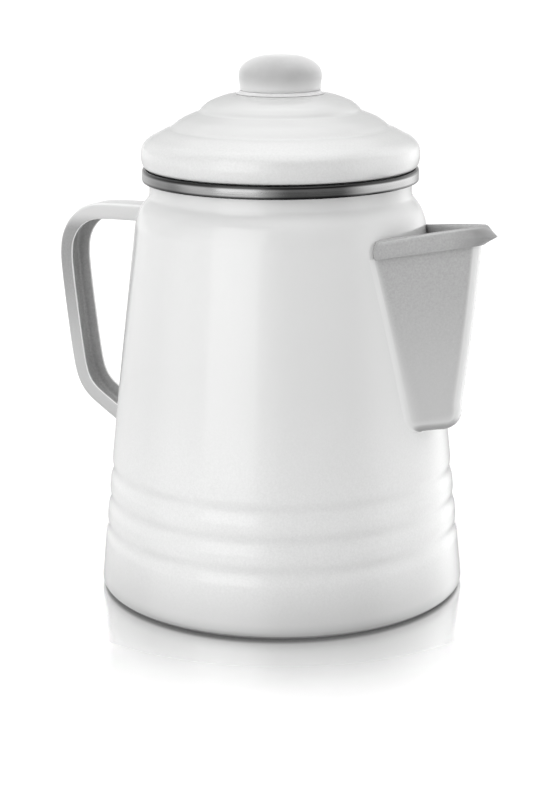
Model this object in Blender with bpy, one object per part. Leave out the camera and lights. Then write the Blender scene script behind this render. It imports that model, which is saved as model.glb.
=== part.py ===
"""Enamelled coffee percolator: pot, spout, handle, stepped lid with a hollow knob, and the pump inside.

The frame's origin is on the pot's axis, on the surface it stands on. +Z is up, +X points to the
spout and the handle is at -X. Lengths are written in millimetres and scaled to metres by MM.
"""

import math

import bmesh
import bpy
from mathutils import Vector

MM = 0.001

# Driving dimensions, millimetres
CLEARANCE = 0.3          # between pieces that touch on the real object
ROUND_SEGMENTS = 48      # pot, ring, lid and basket
KNOB_SEGMENTS = 32
STEM_SEGMENTS = 24
HOLE_SEGMENTS = 6

BASE_R = 75.0
SHOULDER_R = 59.1
NECK_R = 52.4
BASE_FILLET = 3.0
SHOULDER_Z = 143.5
NECK_Z = 163.5
POT_TOP_Z = 170.9
SHEET = 1.2              # enamelled sheet of the pot
WALL_BULGE = 0.5         # how far the wall swells beyond a straight cone
GROOVE_HEIGHTS = (25.0, 37.0, 49.0)
GROOVE_HALF_WIDTH = 4.5
GROOVE_DEPTH = 1.1
STRAINER_LOW_Z = 90.0    # lowest row of the holes behind the spout
STRAINER_ROWS = 6
STRAINER_PITCH = 8.0
STRAINER_HOLE_R = 2.0

RING_OUTER_R = 55.2
RING_INNER_R = 50.1
RING_BOTTOM_Z = 166.9
RING_TOP_Z = 172.0
RING_SHEET = 0.8

SPOUT_SHEET = 1.0
SPOUT_BOTTOM_Z = 73.2
SPOUT_BEND_Z = 85.0      # below this the nose rounds in to the wall
SPOUT_ROOT_BEND_Z = 79.0     # below this the two sides round in to one another
SPOUT_ROOT_BOTTOM_HALF = 13.7
SPOUT_ROOT_SPREAD = 0.139
SPOUT_NOSE_BEND_X = 80.5
SPOUT_FLANGE = 2.8
SPOUT_FILLET = (2.0, 5.0)    # reach of the soft bend along the wall and along the side
SPOUT_NOSE_RADIUS = 5.6
SPOUT_ROOT_PROUD = 3.4   # how far the rounded bottom stands off the wall
BAND_ROOT_Z = (143.1, 149.7)
BAND_NOSE_Z = (148.2, 155.2)
BAND_PROUD = 1.7
BEAK_TIP = (94.2, 151.4)
BEAK_CREST_X = 89.6

HANDLE_WIDTH = 14.0
HANDLE_SHEET = 1.2
HANDLE_DEPTH = 6.7
HANDLE_CORNER = 2.2
HANDLE_WELD_GAP = 0.7    # its straight cut ends stay off the round wall

LID_SHEET = 1.1
LID_TOP_Z = 201.1
LID_HOLE_R = 13.3
LID_FLANGE_Z = 174.1     # underside of the skirt's flange
SKIRT_R = 49.6
SKIRT_SHEET = 0.8
SKIRT_BOTTOM_Z = 160.0

KNOB_TOP_Z = 216.0
KNOB_BASE_Z = 202.4
KNOB_NECK_R = 12.6
KNOB_NECK_BORE_R = 10.2
KNOB_BOTTOM_Z = 193.4
LUG_TOP_Z = 196.0
LUG_R = 15.0

STEM_R = 4.8
STEM_BORE_R = 4.0
STEM_BOTTOM_Z = 13.0
STEM_TOP_Z = 198.0
THIN_SHEET = 0.8         # aluminium pressings inside the pot
COLLAR_TOP_Z = 95.4
BASKET_BOTTOM_Z = 96.5
BASKET_TOP_Z = 149.6
BASKET_BOTTOM_R = 33.0
BASKET_RIM_R = 39.0
SLEEVE_R = 6.0


def material(name, colour, roughness, metallic=0.0, transmission=0.0):
    """One Principled material in the piece's own colour."""
    made = bpy.data.materials.new(name)
    made.use_nodes = True
    shader = made.node_tree.nodes["Principled BSDF"]
    shader.inputs["Base Color"].default_value = (*colour, 1.0)
    shader.inputs["Roughness"].default_value = roughness
    shader.inputs["Metallic"].default_value = metallic
    shader.inputs["Transmission Weight"].default_value = transmission
    made.diffuse_color = (*colour, 1.0)
    return made


def new_object(name, bm, look, parent):
    """Turns a bmesh in millimetres into a named object in metres under its body's empty."""
    bmesh.ops.scale(bm, vec=(MM, MM, MM), verts=bm.verts)
    bmesh.ops.recalc_face_normals(bm, faces=bm.faces)
    mesh = bpy.data.meshes.new(name)
    bm.to_mesh(mesh)
    bm.free()
    mesh.shade_smooth()
    mesh.set_sharp_from_angle(angle=math.radians(35))
    mesh.materials.append(look)
    made = bpy.data.objects.new(name, mesh)
    bpy.context.scene.collection.objects.link(made)
    if parent is not None:
        made.parent = parent
        made.matrix_parent_inverse = parent.matrix_world.inverted()
    return made


def body_empty(name, height, parent=None):
    """The empty that carries one moving body, on the pot's axis."""
    made = bpy.data.objects.new(name, None)
    made.empty_display_size = 20 * MM
    made.location = (0.0, 0.0, height * MM)
    bpy.context.scene.collection.objects.link(made)
    bpy.context.view_layer.update()
    if parent is not None:
        made.parent = parent
        made.matrix_parent_inverse = parent.matrix_world.inverted()
    bpy.context.view_layer.update()
    return made


def revolved(profile, segments, capped=False):
    """A bmesh turned about Z from (radius, height) points: a closed ring, or a line with flat end caps."""
    bm = bmesh.new()
    verts = [bm.verts.new((radius, 0.0, height)) for radius, height in profile]
    edges = [bm.edges.new(pair) for pair in zip(verts, verts[1:])]
    if not capped:
        edges.append(bm.edges.new((verts[-1], verts[0])))
    ends = [profile[0], profile[-1]]
    bmesh.ops.spin(bm, geom=verts + edges, cent=(0, 0, 0), axis=(0, 0, 1),
                   angle=math.tau, steps=segments, use_merge=True)
    bmesh.ops.remove_doubles(bm, verts=bm.verts, dist=0.001)
    if capped:
        for radius, height in ends:
            rim = [edge for edge in bm.edges if edge.is_boundary and
                   all(abs(vert.co.z - height) < 0.01 and
                       abs(math.hypot(vert.co.x, vert.co.y) - radius) < 0.01 for vert in edge.verts)]
            bmesh.ops.contextual_create(bm, geom=rim)
    return bm


def offset_line(points, distance):
    """The line moved sideways by distance, to its left, with mitred corners."""
    moved = []
    for index, point in enumerate(points):
        before = Vector(points[max(index - 1, 0)])
        after = Vector(points[min(index + 1, len(points) - 1)])
        here = Vector(point)
        first = (here - before).normalized() if index > 0 else (after - here).normalized()
        second = (after - here).normalized() if index < len(points) - 1 else first
        side = Vector((-first.y - second.y, first.x + second.x)).normalized()
        stretch = 1.0 / max(0.5, side.dot(Vector((-first.y, first.x))))
        moved.append(tuple(here + side * distance * stretch))
    return moved


def cutter_object(name, bm):
    """A closed shape that a Boolean takes away; it is not a piece of the object."""
    made = new_object(name, bm, bpy.data.materials["cutter"], None)
    made.hide_render = True
    made.display_type = "WIRE"
    return made


def cut(target, tool):
    """Takes the tool's shape out of the target with a Boolean modifier."""
    boolean = target.modifiers.new(tool.name, "BOOLEAN")
    boolean.operation = "DIFFERENCE"
    boolean.solver = "EXACT"
    boolean.object = tool


def add_rod(bm, start, end, radius, segments):
    """Adds one closed straight rod between two points."""
    axis = Vector(end) - Vector(start)
    turn = axis.to_track_quat("Z", "Y").to_matrix().to_4x4()
    turn.translation = (Vector(start) + Vector(end)) / 2
    bmesh.ops.create_cone(bm, cap_ends=True, segments=segments, radius1=radius, radius2=radius,
                          depth=axis.length, matrix=turn)


def ring_of_rods(bm, ring_radius, count, low, high, radius):
    """Adds upright rods on a circle, for a ring of drilled holes."""
    for index in range(count):
        angle = math.tau * (index + 0.5) / count
        place = (ring_radius * math.cos(angle), ring_radius * math.sin(angle))
        add_rod(bm, (*place, low), (*place, high), radius, HOLE_SEGMENTS)


# The pot's wall

def plain_wall_radius(height):
    """Outside radius of the pot's cone, with its slight swelling and no grooves."""
    along = (height - BASE_FILLET) / (SHOULDER_Z - BASE_FILLET)
    return BASE_R + (SHOULDER_R - BASE_R) * along + WALL_BULGE * math.sin(math.pi * along)


def grooved_wall_point(height):
    """One point of the outer wall, inside any rolled groove at that height."""
    radius = plain_wall_radius(height)
    for centre in GROOVE_HEIGHTS:
        away = abs(height - centre) / GROOVE_HALF_WIDTH
        if away < 1.0:
            radius -= GROOVE_DEPTH * (0.5 + 0.5 * math.cos(math.pi * away))
    return radius, height


def wall_line():
    """The pot's outer line from the flat base up to the neck."""
    heights = [BASE_FILLET, 14.0]
    for centre in GROOVE_HEIGHTS:
        heights += [centre + GROOVE_HALF_WIDTH * part for part in (-1.0, -0.5, 0.0, 0.5, 1.0)]
    heights += [75.0, 100.0, 122.0, SHOULDER_Z]
    base = [(BASE_R - BASE_FILLET, 0.0), (BASE_R - 1.3, 0.4), (BASE_R - 0.4, 1.3)]
    shoulder = [(58.8, 146.0), (58.3, 150.0), (57.3, 153.3), (55.8, 156.5), (53.4, 159.7),
                (52.6, 161.3), (NECK_R, NECK_Z)]
    return base + [grooved_wall_point(height) for height in heights] + shoulder


def wall_radius(height):
    """Outside radius of the pot as it is built, straight between the points of its line."""
    line = wall_line()[3:]
    for (low_r, low_z), (high_r, high_z) in zip(line, line[1:]):
        if low_z <= height <= high_z:
            return low_r + (high_r - low_r) * (height - low_z) / (high_z - low_z)
    return line[0][0] if height < line[0][1] else line[-1][0]


def build_pot_body(parent, look):
    outer = wall_line()
    inner = offset_line(outer, SHEET)
    inner[0] = (outer[0][0], SHEET)
    bead_r = 54.0
    rim = [(NECK_R, 168.0), (53.4, 168.2), (bead_r, 168.9), (bead_r, 169.9), (53.3, POT_TOP_Z),
           (51.7, POT_TOP_Z), (NECK_R - SHEET, 170.4)]
    pot = new_object("pot_body", revolved(outer + rim + inner[::-1], ROUND_SEGMENTS, capped=True),
                     look, parent)
    bm = bmesh.new()
    for row in range(STRAINER_ROWS):
        height = STRAINER_LOW_Z + STRAINER_PITCH * row
        count = 2 + row % 2 + row // 3
        for index in range(count):
            across = (index - (count - 1) / 2) * STRAINER_PITCH
            add_rod(bm, (NECK_R, across, height), (BASE_R, across, height), STRAINER_HOLE_R, 8)
    cut(pot, cutter_object("cut_strainer_holes", bm))


def build_rim_ring(parent, look):
    """Folded steel ring that closes over the pot's rolled edge."""
    soft = 0.9
    hem = NECK_R + 0.6
    low = RING_BOTTOM_Z - 1.3
    outside = [(RING_INNER_R, low), (RING_INNER_R, RING_TOP_Z - 0.7), (RING_INNER_R + 0.8, RING_TOP_Z),
               (RING_OUTER_R - 1.2, RING_TOP_Z), (RING_OUTER_R - 0.3, RING_TOP_Z - 0.5),
               (RING_OUTER_R, RING_TOP_Z - 1.3), (RING_OUTER_R, RING_BOTTOM_Z + soft),
               (RING_OUTER_R - soft, RING_BOTTOM_Z), (hem, RING_BOTTOM_Z)]
    roof = RING_TOP_Z - RING_SHEET
    shell_r = RING_OUTER_R - RING_SHEET
    bore_r = RING_INNER_R + RING_SHEET
    inside = [(hem, RING_BOTTOM_Z + RING_SHEET), (shell_r, RING_BOTTOM_Z + 1.2), (shell_r, roof - 0.7),
              (shell_r - 0.7, roof), (bore_r + 0.3, roof), (bore_r, roof - 0.3), (bore_r, low)]
    new_object("rim_ring", revolved(outside + inside, ROUND_SEGMENTS), look, parent)


# Spout: rows of points up its height, each running round the channel from weld edge to weld edge

def closing_share(height, bend_height):
    """How much of the channel is left at a height: 1 above the bend, 0 at the rounded bottom."""
    if height >= bend_height:
        return 1.0
    above = max(0.0, (height - SPOUT_BOTTOM_Z) / (bend_height - SPOUT_BOTTOM_Z))
    return (1.0 - (1.0 - above) ** 2.3) ** 0.435


def spout_root_half_width(height):
    """Half the distance between the two weld lines."""
    straight = SPOUT_ROOT_BOTTOM_HALF + max(0.0, height - SPOUT_BOTTOM_Z) * SPOUT_ROOT_SPREAD
    return straight * (0.5 + 0.5 * closing_share(height, SPOUT_ROOT_BEND_Z) ** 1.6)


def spout_nose_x(height):
    """How far out the nose line is."""
    if height >= SPOUT_BEND_Z:
        above = height - SPOUT_BEND_Z
        return SPOUT_NOSE_BEND_X + 0.142 * above - 0.00055 * above * above
    reach = SPOUT_NOSE_BEND_X - wall_radius(SPOUT_BEND_Z)
    share = closing_share(height, SPOUT_BEND_Z)
    return wall_radius(height) + SPOUT_ROOT_PROUD + (reach - SPOUT_ROOT_PROUD) * share


def spout_half_section(height, trim=0.0):
    """Outer line of the sheet on one side, from the weld edge to the nose, at one height."""
    radius = wall_radius(height) + CLEARANCE + SPOUT_SHEET
    half = spout_root_half_width(height) - trim
    root_angle = math.asin(half / radius)
    nose = spout_nose_x(height)
    root = Vector((radius * math.cos(root_angle), half))
    bend = min(SPOUT_NOSE_RADIUS, 0.45 * (nose - root.x), 0.6 * half)
    centre = Vector((nose - bend, 0.0))
    to_root = root - centre
    tangent = math.atan2(to_root.y, to_root.x) - math.acos(bend / to_root.length)
    touch = centre + bend * Vector((math.cos(tangent), math.sin(tangent)))
    side = touch - root
    weld = [root_angle + SPOUT_FLANGE / radius, root_angle + SPOUT_FILLET[0] / radius]
    points = [Vector((radius * math.cos(angle), radius * math.sin(angle))) for angle in weld]
    fillet_end = root + side.normalized() * min(SPOUT_FILLET[1], 0.4 * side.length)
    points += [(points[1] + 2.0 * root + fillet_end) / 4.0, fillet_end, fillet_end.lerp(touch, 0.5)]
    for step in range(4):
        angle = tangent * (1.0 - step / 3)
        points.append(centre + bend * Vector((math.cos(angle), math.sin(angle))))
    return points


def mirrored(half):
    """The whole row from its +Y half, which ends on the nose line."""
    return half + [(x, -y, z) for x, y, z in half[-2::-1]]


def spout_row(height_at, thickness, proud=0.0, beak=0.0, trim=0.0):
    """One row of 3-D points; height_at gives the height for the share of the way out to the nose."""
    half = []
    plan = spout_half_section(height_at(0.5))
    for index, place in enumerate(plan):
        height = height_at(max(0.0, (place.x - plan[0].x) / (plan[-1].x - plan[0].x)))
        line = [tuple(point) for point in spout_half_section(height, trim)]
        line.append((line[-2][0], -line[-2][1]))
        point = Vector(offset_line(line, (proud if index > 0 else 0.0) - thickness)[index])
        point.x += beak * (0.0, 0.0, 0.0, 0.0, 0.0, 0.05, 0.2, 0.5, 1.0)[index]
        half.append((point.x, point.y, height))
    return mirrored(half)


def wall_row(height, half_width, thickness):
    """One row of the weld flange, lying on the pot's wall under the channel."""
    radius = wall_radius(height) + CLEARANCE + SPOUT_SHEET - thickness
    widest = math.asin(half_width / radius)
    angles = [widest * (1.0 - index / 8) for index in range(9)]
    return mirrored([(radius * math.cos(angle), radius * math.sin(angle), height) for angle in angles])


def sheet_bmesh(outer_rows, inner_rows):
    """A closed sheet between two matching grids of points."""
    bm = bmesh.new()
    outer = [[bm.verts.new(point) for point in row] for row in outer_rows]
    inner = [[bm.verts.new(point) for point in row] for row in inner_rows]
    last = len(outer[0]) - 1

    def strip(first, second):
        for left in range(last):
            bm.faces.new((first[left], first[left + 1], second[left + 1], second[left]))

    for index in range(len(outer) - 1):
        strip(outer[index], outer[index + 1])
        strip(inner[index + 1], inner[index])
        for end in (0, last):
            bm.faces.new((outer[index][end], outer[index + 1][end],
                          inner[index + 1][end], inner[index][end]))
    strip(inner[0], outer[0])
    strip(outer[-1], inner[-1])
    return bm


def between(low, high):
    """A height that rises evenly from the wall to the nose."""
    return lambda share: low + (high - low) * share


def build_spout(parent, look):
    outer = []
    inner = []
    edge_half = spout_root_half_width(SPOUT_BOTTOM_Z) + SPOUT_FLANGE
    for drop, half_width in ((1.4, edge_half - 2.6), (0.9, edge_half - 0.8), (0.3, edge_half + 0.1)):
        outer.append(wall_row(SPOUT_BOTTOM_Z - drop, half_width, 0.0))
        inner.append(wall_row(SPOUT_BOTTOM_Z - drop, half_width, SPOUT_SHEET))
    for part in (0.0, 0.03, 0.14, 0.35, 0.65, 1.0):
        height = SPOUT_BOTTOM_Z + (SPOUT_BEND_Z - SPOUT_BOTTOM_Z) * part
        outer.append(spout_row(between(height, height), 0.0))
        inner.append(spout_row(between(height, height), SPOUT_SHEET))
    for part in (0.33, 0.67, 1.0):
        low = SPOUT_BEND_Z + (BAND_ROOT_Z[0] - SPOUT_BEND_Z) * part
        high = SPOUT_BEND_Z + (BAND_NOSE_Z[0] - SPOUT_BEND_Z) * part
        outer.append(spout_row(between(low, high), 0.0))
        inner.append(spout_row(between(low, high), SPOUT_SHEET))
    tip_reach = BEAK_TIP[0] - spout_nose_x(BEAK_TIP[1]) - BAND_PROUD
    crest_reach = BEAK_CREST_X - spout_nose_x(BAND_NOSE_Z[1]) - BAND_PROUD
    bands = ((0.02, BAND_NOSE_Z[0], 0.0, 0.0), (0.5, BEAK_TIP[1], tip_reach, 0.6),
             (1.0, BAND_NOSE_Z[1], crest_reach, 2.8))
    for part, nose_height, reach, trim in bands:
        low = BAND_ROOT_Z[0] + (BAND_ROOT_Z[1] - BAND_ROOT_Z[0]) * part
        outer.append(spout_row(between(low, nose_height), 0.0, BAND_PROUD, reach, trim))
        inner.append(spout_row(between(low, nose_height), SPOUT_SHEET, 0.0, 0.0, trim))
    new_object("spout", sheet_bmesh(outer, inner), look, parent)


# Handle: a pressed channel, open towards the pot

def handle_line():
    """Side outline of the handle's back, from the shoulder round to the lower root."""
    return [(64.0, 152.6), (80.0, 152.2), (88.5, 151.3), (95.1, 148.5), (100.4, 143.6), (103.8, 137.4),
            (105.0, 131.0), (104.9, 123.0), (102.9, 104.5), (100.6, 87.0), (98.9, 78.0), (96.4, 72.0),
            (92.5, 67.4), (87.2, 63.7), (78.0, 58.1)]


def channel_section():
    """Half-width and depth of each corner of the channel, round its outside and back inside."""
    half = HANDLE_WIDTH / 2
    bend = HANDLE_CORNER
    outside = [(-half, HANDLE_DEPTH), (-half, bend), (-half + 0.3 * bend, 0.3 * bend), (-half + bend, 0.0)]
    outside += [(-across, depth) for across, depth in outside[::-1]]
    thinner = half - HANDLE_SHEET
    inside = [(thinner, HANDLE_DEPTH), (thinner, bend), (thinner - 1.0, HANDLE_SHEET)]
    inside += [(-across, depth) for across, depth in inside[::-1]]
    return outside + inside


def seated(point, direction):
    """The point moved along a direction until it is HANDLE_WELD_GAP off the pot's wall."""
    low, high = 0.0, 40.0
    for _ in range(30):
        middle = (low + high) / 2
        trial = point + direction * middle
        outside = math.hypot(trial.x, trial.y) > wall_radius(trial.z) + HANDLE_WELD_GAP
        low, high = (middle, high) if outside else (low, middle)
    return point + direction * low


def build_handle(parent, look):
    line = [Vector((-reach, height)) for reach, height in handle_line()]
    deeper = [Vector(point) for point in offset_line([tuple(point) for point in line], 1.0)]
    stations = []
    for point, inward in zip(line, deeper):
        step = inward - point
        stations.append([Vector((point.x + step.x * depth, across, point.y + step.y * depth))
                         for across, depth in channel_section()])
    ends = ((0, line[0] - line[1]), (len(stations) - 1, line[-1] - line[-2]))
    for index, run in ends:
        direction = Vector((run.x, 0.0, run.y)).normalized()
        stations[index] = [seated(point, direction) for point in stations[index]]
    bm = bmesh.new()
    loops = [[bm.verts.new(point) for point in station] for station in stations]
    count = len(loops[0])
    for first, second in zip(loops, loops[1:]):
        for index in range(count):
            after = (index + 1) % count
            bm.faces.new((first[index], first[after], second[after], second[index]))
    for loop in (loops[0], loops[-1]):
        for index in range(count // 2 - 1):
            bm.faces.new((loop[index], loop[index + 1], loop[count - 2 - index], loop[count - 1 - index]))
    new_object("handle", bm, look, parent)


# Lid, knob and their fittings

def lid_line():
    """The lid's outer line, from its hole down over three bulges to the rolled edge."""
    crown = [(LID_HOLE_R, LID_TOP_Z), (17.6, LID_TOP_Z), (21.4, 200.4), (25.0, 199.3), (28.6, 197.7),
             (30.8, 196.0), (31.9, 194.6)]
    middle = [(35.0, 193.1), (38.6, 191.6), (41.2, 189.9), (43.1, 188.2)]
    outer = [(46.2, 186.9), (49.4, 185.2), (52.4, 183.6), (54.2, 182.0), (55.2, 180.2), (55.6, 177.3)]
    return crown + middle + outer


def notch_cutter(name, low, high):
    """Two boxes that open the way for the knob's lugs, at +X and -X."""
    bm = bmesh.new()
    for side in (-1, 1):
        made = bmesh.ops.create_cube(bm, size=1.0)
        bmesh.ops.scale(bm, vec=(5.0, 7.0, high - low), verts=made["verts"])
        bmesh.ops.translate(bm, vec=(side * 12.9, 0.0, (low + high) / 2), verts=made["verts"])
    return cutter_object(name, bm)


def build_lid_shell(parent, look):
    outer = lid_line()
    edge = [(55.3, 174.8), (54.7, 173.1), (54.0, 172.4), (52.9, 172.4), (52.6, 173.3), (53.7, 173.7),
            (54.2, 175.0)]
    inner = offset_line(outer, -LID_SHEET)
    inner[0] = (LID_HOLE_R, LID_TOP_Z - LID_SHEET)
    lid = new_object("lid_shell", revolved(outer + edge + inner[::-1], ROUND_SEGMENTS), look, parent)
    cut(lid, notch_cutter("cut_lid_notches", LID_TOP_Z - 4.0, LID_TOP_Z + 4.0))


def build_lid_skirt(parent, look):
    """Ring under the lid that drops into the pot's neck."""
    inner_r = SKIRT_R - SKIRT_SHEET
    flange_r = SKIRT_R + 3.6
    top = LID_FLANGE_Z + SKIRT_SHEET
    profile = [(flange_r, LID_FLANGE_Z), (flange_r, top), (inner_r, top),
               (inner_r, SKIRT_BOTTOM_Z), (SKIRT_R, SKIRT_BOTTOM_Z), (SKIRT_R, LID_FLANGE_Z)]
    new_object("lid_skirt", revolved(profile, ROUND_SEGMENTS), look, parent)


def build_knob_gasket(parent, look):
    profile = [(12.9, 201.4), (15.9, 201.4), (15.9, 202.1), (12.9, 202.1)]
    new_object("knob_gasket", revolved(profile, KNOB_SEGMENTS), look, parent)


def build_knob_lock_ring(parent, look):
    """Steel ring under the lid that the knob's lugs turn beneath."""
    low = LUG_TOP_Z + 0.4
    high = LID_TOP_Z - LID_SHEET - CLEARANCE
    profile = [(13.0, low), (17.2, low), (17.6, low + 0.4), (17.6, high), (13.0, high)]
    ring = new_object("knob_lock_ring", revolved(profile, KNOB_SEGMENTS), look, parent)
    cut(ring, notch_cutter("cut_ring_notches", low - 1.0, high + 0.15))


def build_lid_knob(parent, look):
    """Hollow knob: the brew is seen in it, and two lugs at +Y and -Y lock its neck under the lid."""
    outside = [(KNOB_NECK_R, KNOB_BOTTOM_Z), (KNOB_NECK_R, LUG_TOP_Z), (KNOB_NECK_R, KNOB_BASE_Z),
               (15.9, KNOB_BASE_Z), (16.15, 203.2), (16.2, 204.6), (16.6, 207.3), (16.5, 208.9),
               (16.0, 210.6), (14.8, 212.2), (12.6, 213.8), (9.4, 215.1), (6.0, KNOB_TOP_Z)]
    inside = [(5.0, 213.0), (8.6, 212.3), (11.4, 210.8), (12.9, 208.4), (12.6, 205.2), (11.4, 203.6),
              (KNOB_NECK_BORE_R, 202.6), (KNOB_NECK_BORE_R, KNOB_BOTTOM_Z)]
    bm = bmesh.new()
    ring = revolved(outside[::-1] + inside[::-1], KNOB_SEGMENTS, capped=True)
    mesh = bpy.data.meshes.new("knob_blank")
    ring.to_mesh(mesh)
    ring.free()
    bm.from_mesh(mesh)
    bpy.data.meshes.remove(mesh)
    bmesh.ops.recalc_face_normals(bm, faces=bm.faces)
    lug_middle = (KNOB_BOTTOM_Z + LUG_TOP_Z) / 2
    picked = [face for face in bm.faces
              if abs(face.calc_center_median().z - lug_middle) < 0.1
              and face.calc_center_median().xy.length > 11.5
              and abs(face.calc_center_median().x) < 2.6]
    grown = bmesh.ops.extrude_face_region(bm, geom=picked)["geom"]
    bmesh.ops.delete(bm, geom=picked, context="FACES")
    for vert in [item for item in grown if isinstance(item, bmesh.types.BMVert)]:
        vert.co.xy *= LUG_R / KNOB_NECK_R
    new_object("lid_knob", bm, look, parent)


# Pump and basket inside the pot

def build_stem_tube(parent, look):
    profile = [(STEM_R, STEM_BOTTOM_Z), (STEM_R, STEM_TOP_Z), (STEM_BORE_R, STEM_TOP_Z),
               (STEM_BORE_R, STEM_BOTTOM_Z)]
    new_object("stem_tube", revolved(profile, STEM_SEGMENTS), look, parent)


def build_stem_foot(parent, look):
    """Dome that traps the boiling water, with four notches that let cold water in."""
    floor = SHEET + CLEARANCE
    collar_r = STEM_R + 0.3 + THIN_SHEET
    outer = [(28.5, floor), (28.5, floor + 1.4), (25.5, 5.2), (20.0, 7.8), (13.0, 10.2), (8.0, 12.0),
             (collar_r, 14.0), (collar_r, 22.0)]
    inner = offset_line(outer, THIN_SHEET)
    foot = new_object("stem_foot", revolved(outer + inner[::-1], STEM_SEGMENTS), look, parent)
    bm = bmesh.new()
    for angle in (45, 135, 225, 315):
        way = Vector((math.cos(math.radians(angle)), math.sin(math.radians(angle)), 0.0))
        add_rod(bm, way * 24.0 + Vector((0, 0, 1.0)), way * 32.0 + Vector((0, 0, 1.0)), 2.2, 8)
    cut(foot, cutter_object("cut_foot_notches", bm))


def build_valve_seat(parent, look):
    """Small pressed cup in the foot: its hole is closed by the loose washer."""
    profile = [(3.0, 3.4), (11.4, 3.4), (12.0, 4.0), (12.0, 9.2), (11.2, 9.2), (11.2, 4.2), (3.0, 4.2)]
    new_object("valve_seat", revolved(profile, STEM_SEGMENTS), look, parent)


def build_pump_washer(parent, look):
    profile = [(1.2, 4.5), (9.0, 4.5), (9.0, 5.3), (1.2, 5.3)]
    new_object("pump_washer", revolved(profile, STEM_SEGMENTS), look, parent)


def build_stem_collar(parent, look):
    """Stop on the stem that the basket stands on."""
    bore = STEM_R + 0.35
    profile = [(bore, COLLAR_TOP_Z - 4.0), (6.6, COLLAR_TOP_Z - 4.0), (8.0, COLLAR_TOP_Z - 2.2),
               (8.0, COLLAR_TOP_Z), (bore, COLLAR_TOP_Z)]
    new_object("stem_collar", revolved(profile, STEM_SEGMENTS), look, parent)


def build_basket_cup(parent, look):
    """Perforated coffee basket with a rolled rim."""
    floor = BASKET_BOTTOM_Z + 0.8
    outer = [(7.0, floor), (BASKET_BOTTOM_R - 2.5, floor), (BASKET_BOTTOM_R - 0.6, floor + 0.9),
             (BASKET_BOTTOM_R, floor + 3.0), (BASKET_RIM_R - 2.0, BASKET_TOP_Z - 3.0)]
    rim = [(BASKET_RIM_R - 0.3, BASKET_TOP_Z - 2.6), (BASKET_RIM_R, BASKET_TOP_Z - 1.4),
           (BASKET_RIM_R - 0.4, BASKET_TOP_Z - 0.2), (BASKET_RIM_R - 1.6, BASKET_TOP_Z),
           (BASKET_RIM_R - 2.7, BASKET_TOP_Z - 0.9)]
    inner = offset_line(outer, THIN_SHEET)
    cup = new_object("basket_cup", revolved(outer + rim + inner[::-1], ROUND_SEGMENTS), look, parent)
    bm = bmesh.new()
    for ring_radius, count in ((13.0, 8), (19.0, 12), (25.0, 16)):
        ring_of_rods(bm, ring_radius, count, floor - 2.0, floor + 3.0, 1.0)
    cut(cup, cutter_object("cut_basket_holes", bm))


def build_basket_sleeve(parent, look):
    """Tube through the basket that slides on the stem, with a crimped flange under the floor."""
    bore = SLEEVE_R - THIN_SHEET
    bottom = COLLAR_TOP_Z + CLEARANCE
    profile = [(bore, bottom), (9.4, bottom), (9.4, bottom + THIN_SHEET), (SLEEVE_R, bottom + 1.3),
               (SLEEVE_R, BASKET_TOP_Z - 1.0), (bore, BASKET_TOP_Z - 1.0)]
    new_object("basket_sleeve", revolved(profile, STEM_SEGMENTS), look, parent)


def build_basket_cover(parent, look):
    """Spreader plate that closes the basket and guides on the stem."""
    plate = BASKET_TOP_Z + CLEARANCE
    hub = STEM_R + 0.4
    edge_r = BASKET_RIM_R + 1.2
    hub_top = plate + 9.0
    lip = plate - 4.0
    profile = [(hub, hub_top), (hub, plate), (edge_r - THIN_SHEET, plate), (edge_r - THIN_SHEET, lip),
               (edge_r, lip), (edge_r, plate + 0.3), (edge_r - 0.6, plate + THIN_SHEET),
               (8.0, plate + THIN_SHEET), (hub + THIN_SHEET, plate + 2.2), (hub + THIN_SHEET, hub_top)]
    cover = new_object("basket_cover", revolved(profile, ROUND_SEGMENTS), look, parent)
    bm = bmesh.new()
    for ring_radius, count in ((14.0, 8), (22.0, 12), (30.0, 16)):
        ring_of_rods(bm, ring_radius, count, plate - 2.0, plate + 3.0, 1.0)
    cut(cover, cutter_object("cut_cover_holes", bm))


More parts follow.
